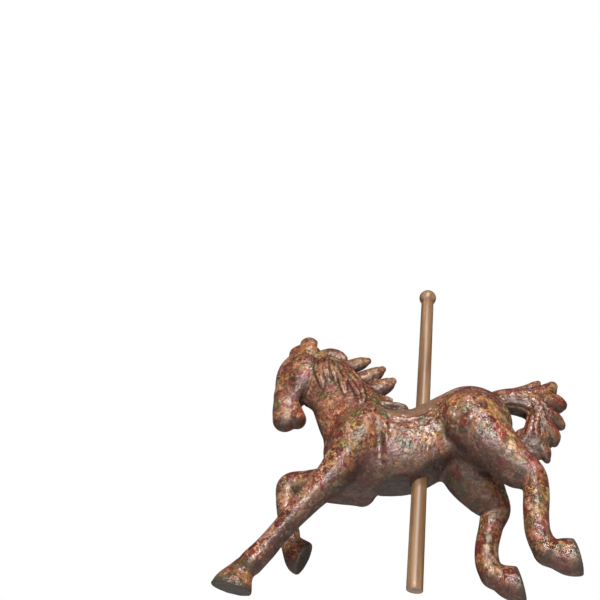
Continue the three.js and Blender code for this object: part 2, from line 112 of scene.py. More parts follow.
def workRod(stations, width, soft, combine):
    # works a rod into the field, only where it can reach
    line = centreLine(stations)
    points = np.array([point for point, _ in line])
    pad = max(radius for _, radius in line) + soft + 2 * step
    pads = np.array((pad, pad * max(width, 1), pad))
    first, last = cellsAround(points.min(0) - pads, points.max(0) + pads)
    near = np.full(last - first, figure["length"], dtype=np.float32)
    for (start, r0), (end, r1) in zip(line, line[1:]):
        reach = max(r0, r1) + soft + 2 * step
        reaches = np.array((reach, reach * max(width, 1), reach))
        a, b = cellsAround(np.minimum(start, end) - reaches, np.maximum(start, end) + reaches)
        a = np.maximum(a, first) - first
        b = np.minimum(b, last) - first
        spans = [low[k] + (first[k] + np.arange(a[k], b[k])) * step for k in range(3)]
        x, y, z = (span.astype(np.float32) for span in spans)
        box = tuple(slice(a[k], b[k]) for k in range(3))
        near[box] = rodGap([(start, r0), (end, r1)], width, x[:, None, None], y[None, :, None],
                           z[None, None, :], near[box])
    box = tuple(slice(first[k], last[k]) for k in range(3))
    field[box] = combine(field[box], near)


def smoothLower(first, second, blend):
    # the lower of two fields, with a rounded join
    overlap = np.maximum(blend - np.abs(first - second), 0) / blend
    return np.minimum(first, second) - overlap * overlap * blend / 4


def addRod(stations, width=1.0, blend=1.6):
    soft = blend * share
    workRod(stations, width, soft, lambda known, near: smoothLower(known, near, soft))


def cutRod(stations, width=1.0, blend=0.4):
    soft = blend * share
    workRod(stations, width, soft, lambda known, near: -smoothLower(-known, near, soft))


def otherSide(stations):
    return [[a, -b, *rest] for a, b, *rest in stations]


def addPair(stations, width, blend):
    addRod(stations, width, blend)
    addRod(otherSide(stations), width, blend)


def cutPair(stations, width=1.0, blend=0.4):
    cutRod(stations, width, blend)
    cutRod(otherSide(stations), width, blend)


def facingOut(outward):
    # a direction along and up, one unit long
    return np.array((outward[0], 0, outward[1])) / math.hypot(*outward)


def trimFlat(place, outward, reach, soft=0.33):
    # cuts off what lies beyond a flat plane, within reach of a place on it
    point = np.array(place) * share
    normal = facingOut(outward)
    first, last = cellsAround(point - reach * share, point + reach * share)
    x, z = (low[k] + np.arange(first[k], last[k]) * step - point[k] for k in (0, 2))
    beyond = x[:, None, None] * normal[0] + z[None, None, :] * normal[2]
    box = tuple(slice(first[k], last[k]) for k in range(3))
    known = field[box]
    cut = -smoothLower(-known, -beyond + 0 * known, soft * share)
    field[box] = np.where(beyond > -2 * step, cut, known)


def sampleLine(stations, steps=40):
    # dense samples of a centre line: place, direction and radius, in hundredths of the length
    line = centreLine(stations, steps)
    places = np.array([place for place, _ in line]) / share
    ways = np.gradient(places, axis=0)
    ways = ways / np.linalg.norm(ways, axis=1)[:, None]
    return places, ways, np.array([radius for _, radius in line]) / share


def onRod(samples, width, place, turn, side):
    # a point on a rod's skin: its place along the rod and its turn round it
    places, ways, radii = samples
    at = int(round(min(max(place, 0), 1) * (len(places) - 1)))
    reach = radii[at] * math.cos(turn)
    return [places[at][0] + reach * ways[at][2], side * radii[at] * width * math.sin(turn),
            places[at][2] - reach * ways[at][0]]


# trunk, its belly flattened by two planes
trunk = {
    "barrel": [[-20, 0, 11, 11.6], [-9, 0, 11.6, 15.4], [0, 0, 13.8, 14.3], [7, 0, 18.6, 13.6],
               [16.4, 0, 25, 13.5]],
    "width": 0.76,
    "belly": [((-4.5, 0, -0.4), (0.3, -1), 22), ((3.5, 0, 3.8), (0.77, -1), 20)],
    "chest": [[-22.5, 0, 9, 9.3], [-22.6, 0, 2.6, 6.6]],
}
addRod(trunk["barrel"], trunk["width"])
for place, outward, reach in trunk["belly"]:
    trimFlat(place, outward, reach, 1.6)
addRod(trunk["chest"], 1.1, 5)

# neck and throat
neck = {
    "stations": [[-22.7, 0, 22, 13.2], [-29.9, 0, 32.6, 11.3], [-36.3, 0, 40.6, 10.1],
                 [-41.6, 0, 46.7, 7.4]],
    "width": 0.58,
    "throat": [[-38.7, 0, 33.6, 5.6], [-41.1, 0, 31.9, 3.4]],
}
addRod(neck["stations"], neck["width"], 3)
addRod(neck["throat"], 0.7, 1.5)

# head
head = {
    "skull": [[-47.9, 0, 51.6, 5], [-49.5, 0, 43.5, 7], [-50.1, 0, 33.5, 5.6]],
    "muzzle": [[-50.1, 0, 33.5, 5.4], [-50, 0, 26.8, 4.9], [-49.3, 0, 22.6, 4.7]],
    "chin": [[-47.2, 0, 27.4, 3.2], [-44.9, 0, 22.8, 3.4]],
    "cheek": [[-45.6, -3, 46, 4.6], [-44.9, -3.1, 40.5, 4.7], [-46.4, -2.5, 35.4, 4],
              [-48.4, -1.8, 31, 3.4]],
    # a ball between an upper and a lower lid
    "eye": [
        [[-48.6, -4.9, 38.7, 0.7], [-47.6, -5.4, 38, 0.9], [-46.7, -5.6, 37.6, 0.6]],
        [[-49.6, -4.3, 39.9, 0.25], [-48.1, -5.3, 39.7, 0.4], [-46.3, -6.1, 38.3, 0.3]],
        [[-49.2, -4.4, 38, 0.2], [-47.7, -5.4, 36.8, 0.35], [-46.1, -6, 37.3, 0.25]],
    ],
    "mouth": [[-45.8, -3.6, 28, 0.3], [-45.6, -4.2, 25, 0.7], [-45.3, -4, 20.4, 0.7]],
    "nostril": [[-49.2, -4.4, 26.1, 0.5], [-48, -4.3, 25.3, 0.7]],
}
addRod(head["skull"], 0.66, 1.5)
addRod(head["muzzle"], 0.84, 1)
addRod(head["chin"], 1.1, 0.6)
addPair(head["cheek"], 0.68, 0.8)
for line in head["eye"]:
    addPair(line, 1, 0.2)
cutPair(head["mouth"])
cutPair(head["nostril"])
print("body and head laid in")

# legs and hooves
legs = {
    "leftFore": [[-17, -5, 16, 9], [-21, -6.5, 9, 7.8], [-26, -8.7, -2, 5.6], [-31.4, -9.6, -10.2, 4.3],
                 [-35.2, -9.7, -15.6, 3.9], [-39.7, -9.6, -22.4, 3.3], [-44.3, -9, -29.3, 3.5],
                 [-47.1, -8.7, -32.8, 3.7]],
    "rightFore": [[-17, 5, 16, 9], [-20, 7, 6, 8], [-25, 8, 4.6, 8], [-31.1, 9, 2.9, 6.2],
                  [-39, 9.6, 2.8, 4.7], [-45.6, 9.6, 1.4, 4.3], [-45.8, 9.6, -3.8, 3.6],
                  [-43.9, 9.4, -11, 3.3], [-42, 9.4, -16, 3.4]],
    "leftHind": [[16, -5.5, 21, 11], [23.8, -8.3, 10.9, 7.6], [28.7, -9.2, 5.8, 5.7],
                 [33.4, -9.7, 1.4, 4.2], [34.3, -9.7, -3.5, 3.7], [33.6, -9.7, -11.2, 3.5],
                 [33.8, -9.7, -17, 3.5], [35.6, -9.7, -21.6, 3.8]],
    "rightHind": [[15, 5.5, 20, 11], [16.2, 7.3, 10.8, 9.8], [20.1, 8.7, 4, 7.3],
                  [23.5, 9.4, -0.9, 4.9], [22.2, 9.6, -6.6, 3.7], [20.7, 9.6, -14, 3.5],
                  [20.9, 9.6, -19.2, 3.7], [22.1, 9.6, -22, 3.9]],
}
hooves = {
    "leftFore": {"rod": [[-49, -8.7, -35, 3.7], [-50.5, -8.7, -38.3, 4.8], [-51.5, -8.7, -41.6, 6.3]],
                 "width": 0.78, "sole": (-51, -8.7, -40.9), "facing": (-0.085, -1), "reach": 9},
    "rightFore": {"rod": [[-42.1, 9.4, -17.7, 3.2], [-39.4, 9.4, -20.7, 4.3], [-37, 9.4, -23, 5.4]],
                  "width": 0.8, "sole": (-35.9, 9.4, -23.6), "facing": (0.93, -0.36), "reach": 7.5},
    "leftHind": {"rod": [[35.9, -9.7, -21.8, 3.6], [38.3, -9.7, -22.2, 4.1], [40.9, -9.7, -22.5, 4.9],
                         [43.8, -9.7, -22.2, 4.8]],
                 "width": 0.82, "sole": (43.4, -9.7, -22.3), "facing": (0.984, 0.178), "reach": 8},
    "rightHind": {"rod": [[22.4, 9.6, -22, 3.7], [24.9, 9.6, -23, 4.2], [27.2, 9.6, -23.8, 4.9],
                          [30.3, 9.6, -24, 5]],
                  "width": 0.82, "sole": (30, 9.6, -23.2), "facing": (0.972, 0.235), "reach": 8},
}
# thicker flesh above two of the legs, and how softly it joins
flesh = {
    "rightFore": ([[-25.5, 7.8, 1.4, 4.8], [-19.5, 7.8, -0.2, 4.3]], 2),
    "leftHind": ([[24.4, -8.2, 4.2, 3.6], [28.8, -8.7, 1.1, 3.6], [32, -9.1, 0.6, 3.2]], 1.5),
}
for name, stations in legs.items():
    addRod(stations, 1, 3 if "Fore" in name else 2.4)
    if name in flesh:
        stations, blend = flesh[name]
        addRod(stations, 1, blend)
    hoof = hooves[name]
    addRod(hoof["rod"], hoof["width"], 0.6)
    trimFlat(hoof["sole"], hoof["facing"], hoof["reach"])
print("legs laid in")

# tail: a thick curl with strands that run along it and leave at the tips
tail = {
    "stations": [[22, 0, 32.8, 2.6], [26.4, 0, 34.3, 3.2], [31, 0, 34.3, 4.2], [36, 0, 33.8, 4.9],
                 [39.2, 0, 30, 4.9], [39, 0, 24.1, 5], [37, 0, 18.8, 4.7], [35.6, 0, 15.8, 3.4]],
    "width": 0.72,
    "inner": [
        [[37.6, 0, 21.4, 3.2], [33, 0, 20.2, 2.9], [31.9, 0, 18.6, 2.4]],
        [[33.4, 0, 14.8, 2.2], [36.6, 0, 14.6, 2.6]],
    ],
    "apart": 0.17,  # turn of a lock's two strands from its middle
    "thickness": 0.95,
    # where each strand leaves the curl, how far round it lies, and its tip
    "strands": [
        (0.3, 2.55, [[37.9, 0.5, 40.3, 1.9], [39.4, 0.3, 42.3, 0.9]]),
        (0.42, 2.2, [[41.6, 0.6, 38.2, 2.8], [44, 0.4, 41.1, 1.6]]),
        (0.5, 1.95, [[43.6, 0.6, 33.8, 3.2], [46.1, 0.4, 33.6, 1.8]]),
        (0.6, 1.75, [[42.9, 0.6, 27.1, 2.8], [45, 0.4, 25.5, 1.5]]),
        (0.7, 1.5, [[41.7, 0.6, 21.4, 2.7], [42.3, 0.4, 19, 1.5]]),
        (0.82, 1.2, [[38.8, 0.5, 15.4, 2.2], [39.6, 0.3, 12.3, 1.1]]),
        (0.86, 0.75, [[32.8, 0.5, 17, 2.3], [34.6, 0.3, 13.9, 1.7]]),
    ],
}
tailCurl = sampleLine(tail["stations"])
addRod(tail["stations"], tail["width"], 1)
for lock in tail["inner"]:
    addRod(lock, tail["width"], 0.6)
tailStrands = []
for leave, turn, tip in tail["strands"]:
    for side in (-1, 1):
        for apart in (-tail["apart"], tail["apart"]):
            along = [0.03 + (leave - 0.03) * k / 3 for k in range(4)]
            strand = [[*onRod(tailCurl, tail["width"], at, turn + apart, side), tail["thickness"]]
                      for at in along]
            strand += [[a, side * b, c, r] for a, b, c, r in tip]
            tailStrands.append(strand)
for strand in tailStrands:
    addRod(strand, 0.9, 0.25)

# mane: leaves along the crest and low strands down both sides of the neck
mane = {
    "locks": [
        [[-47.6, 0, 55.2, 2.2], [-41.4, 0, 50.9, 3.8], [-36.9, 0, 53, 3.3], [-33.7, 0, 52.6, 2.8],
         [-31.6, 0, 51.6, 2]],
        [[-34.2, 0, 46, 4], [-31, 0, 48, 2.9]],
        [[-31.6, 0.3, 45.2, 3.4], [-28.2, 0.3, 47.7, 3.2], [-24.6, 0.3, 49.6, 2.9], [-21.9, 0.3, 50.9, 1.6]],
        [[-26.4, -0.3, 38.8, 4], [-22.1, -0.3, 41.9, 3.5], [-18.2, -0.3, 44.4, 2.9],
         [-15.7, -0.3, 46.6, 1.5]],
        [[-21.5, 0.3, 34.4, 4], [-17.3, 0.3, 37.4, 3.8], [-13.8, 0.3, 39.6, 3.1], [-11.5, 0.3, 41.6, 1.6]],
        [[-17.4, 0, 31.6, 2.6], [-13.6, 0, 32.8, 1.9], [-11.8, 0, 32.9, 1.2]],
    ],
    # along the neck from the poll and round it from the crest: start, start turn, end, end turn
    "strands": [
        (0.95, 1.1, 0.52, 1.7), (0.93, 1.5, 0.5, 1.98), (0.84, 0.9, 0.42, 1.5), (0.76, 0.72, 0.38, 1.02),
        (0.6, 1.05, 0.2, 1.5), (0.5, 0.66, 0.14, 1.0), (0.3, 0.95, 0.02, 1.3),
    ],
    "apart": 0.13,
    "sway": 0.03,
    "thickness": ((0, 0.8), (0.34, 1.0), (0.7, 0.75), (1, 0.2)),  # along a strand
}
for lock in mane["locks"]:
    addRod(lock, 0.72, 0.8)
neckCurve = sampleLine(neck["stations"])
sideLines = []
for start, startTurn, end, endTurn in mane["strands"]:
    for side in (-1, 1):
        for apart in (-mane["apart"], mane["apart"]):
            strand = []
            for part, radius in mane["thickness"]:
                sway = mane["sway"] * math.sin(2 * math.pi * part + 5 * start)
                place = start + (end - start) * part + sway
                turn = startTurn + (endTurn - startTurn) * part + apart * (1 - 0.8 * part)
                strand.append([*onRod(neckCurve, neck["width"], place, turn, side), radius])
            sideLines.append(strand)
for strand in sideLines:
    addRod(strand, 1, 0.25)
print("mane and tail laid in")

# forelock and ears
crown = {
    "forelock": [[-50.3, 0, 53.3, 3.4], [-48.1, 0, 56, 2.6]],
    "ear": [[-45.6, -2.3, 51.6, 4.2], [-45.7, -2.7, 56.4, 3.4]],
    "earTip": [[-47.2, -2.7, 57.3, 1.9], [-44.2, -2.7, 57, 2.1]],
}
addRod(crown["forelock"], 0.9, 0.8)
addPair(crown["ear"], 0.6, 0.8)
addPair(crown["earTip"], 0.6, 0.4)

# carved seat: a low pommel and a raised edge with a groove over it
seat = {
    "pommel": [[-13.4, 0, 28.4, 2.3], [-8.6, 0, 28, 2.3], [-6.6, 0, 27.8, 2.1]],
    "edge": [[-13.6, 9.6, 23.4, 0.5], [-11, 10.9, 19.9, 0.75], [-7.6, 10.6, 18.9, 0.75],
             [-2.9, 10.5, 18.9, 0.7], [1.4, 9.9, 20.6, 0.6], [4, 8.9, 23.2, 0.25]],
    # the plain area: its ends, its top, and its lower line as places along and heights
    "from": -12.8,
    "to": 5.6,
    "top": 35,
    "along": (-13.5, -12.3, -7.6, -2.9, 1.4, 5.2, 7),
    "heights": (26, 22.3, 19.6, 19.6, 21.6, 25.6, 29),
}
addRod(seat["pommel"], 2.2, 0.8)
for side in (-1, 1):
    addRod([[a, side * b, c - 0.5, r] for a, b, c, r in seat["edge"]], 1, 0.5)
    cutRod([[a, side * b, c + 0.9, 0.8 * r] for a, b, c, r in seat["edge"]], 1, 0.5)

muscles = {
    # the near thigh is fuller than the far one
    "thigh": [[13.5, -9.9, 16.2, 5.2], [19.5, -10.3, 11.2, 5.3], [25.2, -10.2, 6.4, 4.4],
              [29.5, -10, 2.8, 3.8]],
    # behind the shoulder and before the thigh
    "hollows": [
        [[-14, -14, 15, 0.9], [-12.7, -12.5, 9.1, 1.3], [-12.2, -11.2, 5.6, 1.2], [-11.8, -9.8, 2.6, 0.7]],
        [[7.4, -13.9, 22.5, 0.4], [7.2, -12.8, 17.5, 0.8], [7.6, -11, 12.8, 0.9], [8.7, -9.2, 8.7, 0.7]],
    ],
    # before and behind the shoulder and down the front of the thigh
    "ridges": [
        [[-24.2, -12.2, 15.8, 0.4], [-22.2, -13.9, 8.4, 0.8], [-21.2, -13.5, 2.9, 0.5]],
        [[-11.2, -12.2, 18, 0.2], [-10.6, -11.9, 12, 0.55], [-10, -10.4, 6.4, 0.55],
         [-9.8, -8.8, 1.6, 0.2]],
        [[12.1, -15.1, 22.5, 0.5], [10.4, -13.5, 17.4, 1.0], [9.7, -10.4, 13.6, 0.6]],
    ],
}
addRod(muscles["thigh"], 0.9, 1.2)
for line in muscles["hollows"]:
    cutPair(line, 1, 2)
for line in muscles["ridges"]:
    addPair(line, 1, 0.8)
print("seat and muscles laid in")

# bore for the pole
boreRadius = figure["poleDiameter"] / 2 + figure["boreClearance"]
gridX, gridY = (low[k] + np.arange(cells[k]) * step for k in (0, 1))
toAxis = np.hypot(gridX[:, None], gridY[None, :])[:, :, None]
outside = (toAxis - boreRadius + 0 * field).astype(np.float32)
field = -smoothLower(-field, outside, figure["boreEase"])

# skin over the field
band = 3 * step
vdb = openvdb.FloatGrid(band)
vdb.copyFromArray(np.clip(field, -band, band).astype(np.float32))
points, triangles, quads = vdb.convertToPolygons(0.0, figure["simplify"])
vertices = points.astype(float) * step + low
faces = [list(map(int, face)) for group in (triangles, quads) for face in group]
print("skin", len(vertices), "points", len(triangles) + 2 * len(quads), "triangles")


def fieldAt(where):
    # the field between grid points
    spot = np.clip((where - low) / step, 0, cells - 1.001)
    at = spot.astype(int)
    part = spot - at
    total = 0
    for dx in (0, 1):
        for dy in (0, 1):
            for dz in (0, 1):
                weight = abs(1 - dx - part[:, 0]) * abs(1 - dy - part[:, 1]) * abs(1 - dz - part[:, 2])
                total = total + weight * field[at[:, 0] + dx, at[:, 1] + dy, at[:, 2] + dz]
    return total


def slope(where, reach):
    # which way the field rises, as directions one unit long
    out = np.empty_like(where)
    for k, shift in enumerate(np.eye(3) * reach):
        out[:, k] = fieldAt(where + shift) - fieldAt(where - shift)
    return out / (np.linalg.norm(out, axis=1)[:, None] + 1e-9)


# where the skin is hollow, bent, under the body, or hair, sole or seat, in millimetres; hollows, creases and
# the underside get painted shade
shadeAndWear = {
    "hollows": (5.0, 12.0, 24.0),
    "bending": 4.0,
    "crest": 8.0,
    "creaseShade": 3.2,
    "hair": 2.5,
    "sole": 9.5,
    "edge": 2.0,  # how softly sole and seat begin
}
normals = slope(vertices, step)
# painted shade in the hollows: how closed in the skin is round each point
hollow = np.zeros(len(vertices))
for reach in shadeAndWear["hollows"]:
    hollow += np.clip(1 - fieldAt(vertices + normals * reach) / reach, 0, 1) / len(shadeAndWear["hollows"])
wideNormals = slope(vertices, 3 * step)
# painted shade on the underside: skin that faces down
under = np.clip(0.5 - 2.2 * (wideNormals[:, 2] + 0.25), 0, 1)
bending = -6 * fieldAt(vertices)
for shift in np.eye(3) * shadeAndWear["bending"]:
    bending += fieldAt(vertices + shift) + fieldAt(vertices - shift)
hair = np.full(len(vertices), 99.0)
for line in [tail["stations"], *tailStrands, *mane["locks"], *sideLines]:
    hair = rodGap(centreLine(line), 0.8, *vertices.T, hair)
sole = np.zeros(len(vertices))
for hoof in hooves.values():
    offset = vertices - np.array(hoof["sole"]) * share
    inReach = np.linalg.norm(offset, axis=1) < 9 * share
    depth = offset @ facingOut(hoof["facing"]) + shadeAndWear["sole"]
    sole = np.maximum(sole, inReach * np.clip(depth / shadeAndWear["edge"], 0, 1))
seatLine = np.interp(vertices[:, 0], np.array(seat["along"]) * share, np.array(seat["heights"]) * share)
inSeat = vertices[:, 0] > seat["from"] * share
inSeat &= vertices[:, 0] < seat["to"] * share
inSeat &= vertices[:, 2] < seat["top"] * share
masks = {
    "hollow": hollow,
    "hair": np.clip(1 - hair / shadeAndWear["hair"], 0, 1),
    "sole": sole,
    "seat": inSeat * np.clip((vertices[:, 2] - seatLine) / shadeAndWear["edge"], 0, 1),
    "under": under,
    "crest": np.clip(bending / shadeAndWear["crest"], 0, 1),
    "creaseShade": np.clip(-bending / shadeAndWear["creaseShade"], 0, 1),
}

# slow unevenness of the pasted skin, none on the soles and in the bore
lumps = {"seed": 7, "waves": 24, "fineness": 0.055, "height": 0.35}
order = np.random.default_rng(lumps["seed"])
waves = order.normal(size=(lumps["waves"], 3)) * lumps["fineness"]
phases = order.uniform(0, 2 * math.pi, lumps["waves"])
swell = np.zeros(len(vertices))
for wave, phase in zip(waves, phases):
    swell += np.sin(vertices @ wave + phase) / 5
onBore = np.hypot(vertices[:, 0], vertices[:, 1]) < boreRadius + 1.5
swell = swell * lumps["height"] * (1 - sole) * (1 - onBore)
vertices = vertices + normals * swell[:, None]

lift = np.array((0, 0, figure["poleBelow"]))
mesh = bpy.data.meshes.new("horseSkin")
mesh.from_pydata(((vertices + lift) / 1000.0).tolist(), [], faces)
mesh.update()
horse = bpy.data.objects.new("carved_horse", mesh)
scene.collection.objects.link(horse)
for name, values in masks.items():
    mesh.attributes.new(name, "FLOAT", "POINT").data.foreach_set("value", values.astype(np.float32))
mesh.shade_smooth()
# every seventh face is enough to tell whether the skin points outwards
someFaces = [mesh.polygons[k] for k in range(0, len(mesh.polygons), 7)]
facing = sum(face.area * face.center.dot(face.normal) for face in someFaces)
if facing < 0:
    mesh.flip_normals()
print("horse", len(mesh.polygons), "faces, facing", round(facing, 4))


def addNode(tree, kind, links=None, **facts):
    made = tree.nodes.new(kind)
    for key, value in facts.items():
        setattr(made, key, value)
    for key, value in (links or {}).items():
        if isinstance(value, bpy.types.NodeSocket):
            tree.links.new(value, made.inputs[key])
        else:
            made.inputs[key].default_value = value
    return made


def newGroup(name, inputs, outputs, kind="ShaderNodeTree"):
    group = bpy.data.node_groups.new(name, kind)
    for label, socket, value in inputs:
        made = group.interface.new_socket(label, in_out="INPUT", socket_type=socket)
        if value is not None:
            made.default_value = value
    for label, socket in outputs:
        group.interface.new_socket(label, in_out="OUTPUT", socket_type=socket)
    return group, group.nodes.new("NodeGroupInput").outputs, group.nodes.new("NodeGroupOutput").inputs


def calc(tree, operation, first, second=0.0, clamp=False):
    made = addNode(tree, "ShaderNodeMath", {0: first, 1: second}, operation=operation, use_clamp=clamp)
    return made.outputs[0]


def times(tree, first, second):
    return calc(tree, "MULTIPLY", first, second)


def plus(tree, first, *others):
    for other in others:
        first = calc(tree, "ADD", first, other)
    return first


def vectorCalc(tree, operation, first, second):
    links = {0: first, ("Scale" if operation == "SCALE" else 1): second}
    return addNode(tree, "ShaderNodeVectorMath", links, operation=operation).outputs[0]


def mixColor(tree, factor, first, second):
    return addNode(tree, "ShaderNodeMix", {0: factor, 6: first, 7: second}, data_type="RGBA").outputs[2]


def mixValue(tree, factor, first, second):
    return addNode(tree, "ShaderNodeMix", {0: factor, 2: first, 3: second}).outputs[0]


def spread(tree, value, fromLow, fromHigh, toLow=0.0, toHigh=1.0):
    facts = {"Value": value, "From Min": fromLow, "From Max": fromHigh, "To Min": toLow, "To Max": toHigh}
    return addNode(tree, "ShaderNodeMapRange", facts, interpolation_type="SMOOTHSTEP").outputs[0]


def noise(tree, place, scale, detail, roughness=0.5, distortion=0.0):
    facts = {"Vector": place, "Scale": scale, "Detail": detail, "Roughness": roughness,
             "Distortion": distortion}
    return addNode(tree, "ShaderNodeTexNoise", facts).outputs


def cellular(tree, place, scale, **facts):
    return addNode(tree, "ShaderNodeTexVoronoi", {"Vector": place, "Scale": scale}, **facts).outputs


def bump(tree, height, distance, strength):
    facts = {"Height": height, "Distance": distance, "Strength": strength}
    return addNode(tree, "ShaderNodeBump", facts).outputs[0]


def linear(red, green, blue):
    # a colour as seen on screen, for a node
    parts = [((c / 255 + 0.055) / 1.055) ** 2.4 if c > 10 else c / 3295 for c in (red, green, blue)]
    return (*parts, 1.0)


def steppedRamp(tree, factor, colors):
    made = addNode(tree, "ShaderNodeValToRGB", {"Fac": factor})
    made.color_ramp.interpolation = "CONSTANT"
    stops = made.color_ramp.elements
    while len(stops) < len(colors):
        stops.new(1.0)
    for index, color in enumerate(colors):
        stops[index].position = index / len(colors)
        stops[index].color = linear(*color)
    return made.outputs["Color"]


def newMaterial(name):
    material = bpy.data.materials.new(name)
    material.use_nodes = True
    tree = material.node_tree
    surface = tree.nodes["Principled BSDF"]
    place = tree.nodes.new("ShaderNodeTexCoord").outputs["Object"]
    return material, tree, surface, place


# shared effect: one layer of torn printed paper
paper = {
    "grounds": [
        (128, 52, 40), (82, 34, 30), (150, 106, 64), (108, 88, 52), (132, 72, 48), (78, 44, 34),
        (150, 110, 90), (84, 94, 62), (164, 130, 90), (108, 40, 36), (92, 56, 40), (142, 90, 66),
        (92, 80, 48), (132, 80, 76),
    ],
    "inks": [
        (192, 152, 96), (76, 44, 34), (146, 62, 44), (184, 158, 122), (92, 100, 62), (160, 112, 100),
        (80, 54, 40),
    ],
    "shadow": (54, 31, 27),
    "shadowMost": 0.7,
    "tearScale": 80.0,
    "tearReach": 0.013,
    "strokeAxis": (0.6, 0.5, 0.62),
    "strokeShape": (1.0, 0.26, 0.5),
    "inked": (0.48, 0.6),  # where the strokes take ink
    "shaded": (0.48, 0.34),
    "edge": (0.075, 0.015),
}
scraps, given, result = newGroup(
    "paperScraps",
    [("Place", "NodeSocketVector", None), ("Scale", "NodeSocketFloat", 26.0),
     ("Seed", "NodeSocketFloat", 0.0), ("Print Scale", "NodeSocketFloat", 330.0),
     ("Print", "NodeSocketFloat", 0.5)],
    [("Color", "NodeSocketColor"), ("Edge", "NodeSocketFloat"), ("Random", "NodeSocketFloat"),
     ("Height", "NodeSocketFloat"), ("Strokes", "NodeSocketFloat")],
)
shifts = {0: given["Seed"], 1: times(scraps, given["Seed"], 1.7), 2: times(scraps, given["Seed"], -0.6)}
shift = addNode(scraps, "ShaderNodeCombineXYZ", shifts).outputs[0]
moved = vectorCalc(scraps, "ADD", given["Place"], shift)
tear = noise(scraps, moved, paper["tearScale"], 5.0, 0.65)["Color"]
tear = vectorCalc(scraps, "SUBTRACT", tear, (0.5, 0.5, 0.5))
torn = vectorCalc(scraps, "ADD", moved, vectorCalc(scraps, "SCALE", tear, paper["tearReach"]))
cell = cellular(scraps, torn, given["Scale"], feature="F1")
rim = cellular(scraps, torn, given["Scale"], feature="DISTANCE_TO_EDGE")["Distance"]
parts = addNode(scraps, "ShaderNodeSeparateColor", {0: cell["Color"]}).outputs
ground = steppedRamp(scraps, parts["Red"], paper["grounds"])
ink = steppedRamp(scraps, parts["Blue"], paper["inks"])
# brush strokes and print, drawn out along a direction of each scrap's own
turning = {"Vector": torn, "Axis": paper["strokeAxis"], "Angle": times(scraps, parts["Green"], 6.28)}
turned = addNode(scraps, "ShaderNodeVectorRotate", turning, rotation_type="AXIS_ANGLE").outputs[0]
drawn = vectorCalc(scraps, "MULTIPLY", turned, paper["strokeShape"])
strokes = noise(scraps, drawn, given["Print Scale"], 4.0, 0.62, 1.3)["Fac"]
printed = times(scraps, spread(scraps, strokes, *paper["inked"]), given["Print"])
color = mixColor(scraps, printed, ground, ink)
shade = times(scraps, spread(scraps, strokes, *paper["shaded"]), paper["shadowMost"])
color = mixColor(scraps, shade, color, linear(*paper["shadow"]))
scraps.links.new(color, result["Color"])
scraps.links.new(spread(scraps, rim, *paper["edge"]), result["Edge"])
scraps.links.new(parts["Green"], result["Random"])
scraps.links.new(times(scraps, spread(scraps, rim, 0.0, 0.06), parts["Red"]), result["Height"])
scraps.links.new(strokes, result["Strokes"])

# shared effect: wrinkled, uneven varnish
varnish = {"folds": 0.6, "creases": 0.13, "soft": 0.8, "grain": 0.04}  # share of each in the height
wrinkles, given, result = newGroup(
    "varnishWrinkles",
    [("Place", "NodeSocketVector", None), ("Size", "NodeSocketFloat", 1.0)],
    [("Height", "NodeSocketFloat"), ("Patches", "NodeSocketFloat")],
)
drift = vectorCalc(wrinkles, "SCALE", noise(wrinkles, given["Place"], 34.0, 2.0)["Color"], 0.03)
wavy = vectorCalc(wrinkles, "ADD", given["Place"], drift)
folds = cellular(wrinkles, wavy, 62.0, feature="F1", distance="CHEBYCHEV")["Distance"]
creases = cellular(wrinkles, wavy, 150.0, feature="F1", distance="CHEBYCHEV")["Distance"]
soft = noise(wrinkles, wavy, 46.0, 3.0, 0.55)["Fac"]
grain = noise(wrinkles, given["Place"], 380.0, 3.0)["Fac"]
height = plus(wrinkles, times(wrinkles, folds, varnish["folds"]),
              times(wrinkles, creases, varnish["creases"]),
              times(wrinkles, soft, varnish["soft"]), times(wrinkles, grain, varnish["grain"]))
wrinkles.links.new(times(wrinkles, height, given["Size"]), result["Height"])
wrinkles.links.new(spread(wrinkles, soft, 0.4, 0.64), result["Patches"])

# pasted and varnished paper
pasted = {
    # the colour of the painted shade in hollows, creases and under the body
    "shadeBrown": linear(46, 31, 24),
    "umber": linear(70, 34, 28),
    "sole": linear(66, 64, 54),
    "seat": linear(112, 86, 70),
    "cream": linear(206, 168, 132),
    # each layer of scraps: its scale, seed, print scale and print strength
    "wide": (25.0, 0.31, 250.0, 0.8),
    "mid": (46.0, 1.73, 330.0, 0.8),
    "small": (96.0, 2.9, 480.0, 0.5),
    "midFrom": 0.5,  # scraps of a layer show above this, of 1
    "smallFrom": 0.72,
    "reliefDepth": 0.0032,
    "relief": 0.95,
    "roughness": (0.05, 0.16),
    "dullUnder": 0.35,
    "shine": 0.42,
}
collage, tree, surface, place = newMaterial("varnished_collage")


def scrapLayer(scale, seed, printScale, strength):
    links = {"Place": place, "Scale": scale, "Seed": seed, "Print Scale": printScale, "Print": strength}
    return addNode(tree, "ShaderNodeGroup", links, node_tree=scraps).outputs


wide, mid, small = (scrapLayer(*pasted[name]) for name in ("wide", "mid", "small"))
skin = addNode(tree, "ShaderNodeGroup", {"Place": place, "Size": 1.0}, node_tree=wrinkles).outputs
overMid = calc(tree, "GREATER_THAN", mid["Random"], pasted["midFrom"])
overSmall = times(tree, calc(tree, "GREATER_THAN", small["Random"], pasted["smallFrom"]), 0.7)
edges = times(tree, mixValue(tree, overMid, wide["Edge"], mid["Edge"]), 0.3)
stain = noise(tree, place, 60.0, 5.0, 0.7)["Fac"]
flecks = noise(tree, place, 150.0, 4.0, 0.7)["Fac"]
on = {name: addNode(tree, "ShaderNodeAttribute", attribute_name=name).outputs["Fac"] for name in masks}
# pale flecks on the crests of the hair: partly rubbed wear, partly painted highlight
rubbedAndHighlit = times(tree, times(tree, on["crest"], on["hair"]), spread(tree, flecks, 0.4, 0.6))
